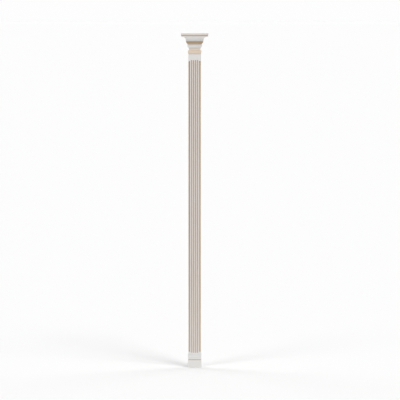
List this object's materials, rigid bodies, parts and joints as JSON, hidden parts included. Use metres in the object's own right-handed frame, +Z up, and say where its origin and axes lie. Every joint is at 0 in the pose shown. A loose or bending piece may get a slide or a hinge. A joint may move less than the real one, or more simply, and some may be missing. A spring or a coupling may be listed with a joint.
{
  "type": "decorative column",
  "caption": "Slender square interior column: moulded base, shaft with stopped flutes and coved corners, and a square capital with a flat top slab.",
  "frame": {"origin": "middle of the underside of the plinth", "axes": "+Z up along the shaft, +X and +Y square to two neighbouring faces, and the four faces are alike"},
  "size_m": [0.2092, 0.2092, 2.6],
  "materials": {
    "ivory_paint": "satin warm white paint on wood, with beige glaze wiped into the capital's ovolo and astragal, under the top slab and into the groove above the plinth",
    "glazed_shaft_paint": "satin warm white paint on wood, with beige glaze in the flutes and corner coves"
  },
  "bodies": {
    "root": {"base": "ivory_paint", "shaft": "glazed_shaft_paint", "capital": "ivory_paint"}
  },
  "joints": []
}
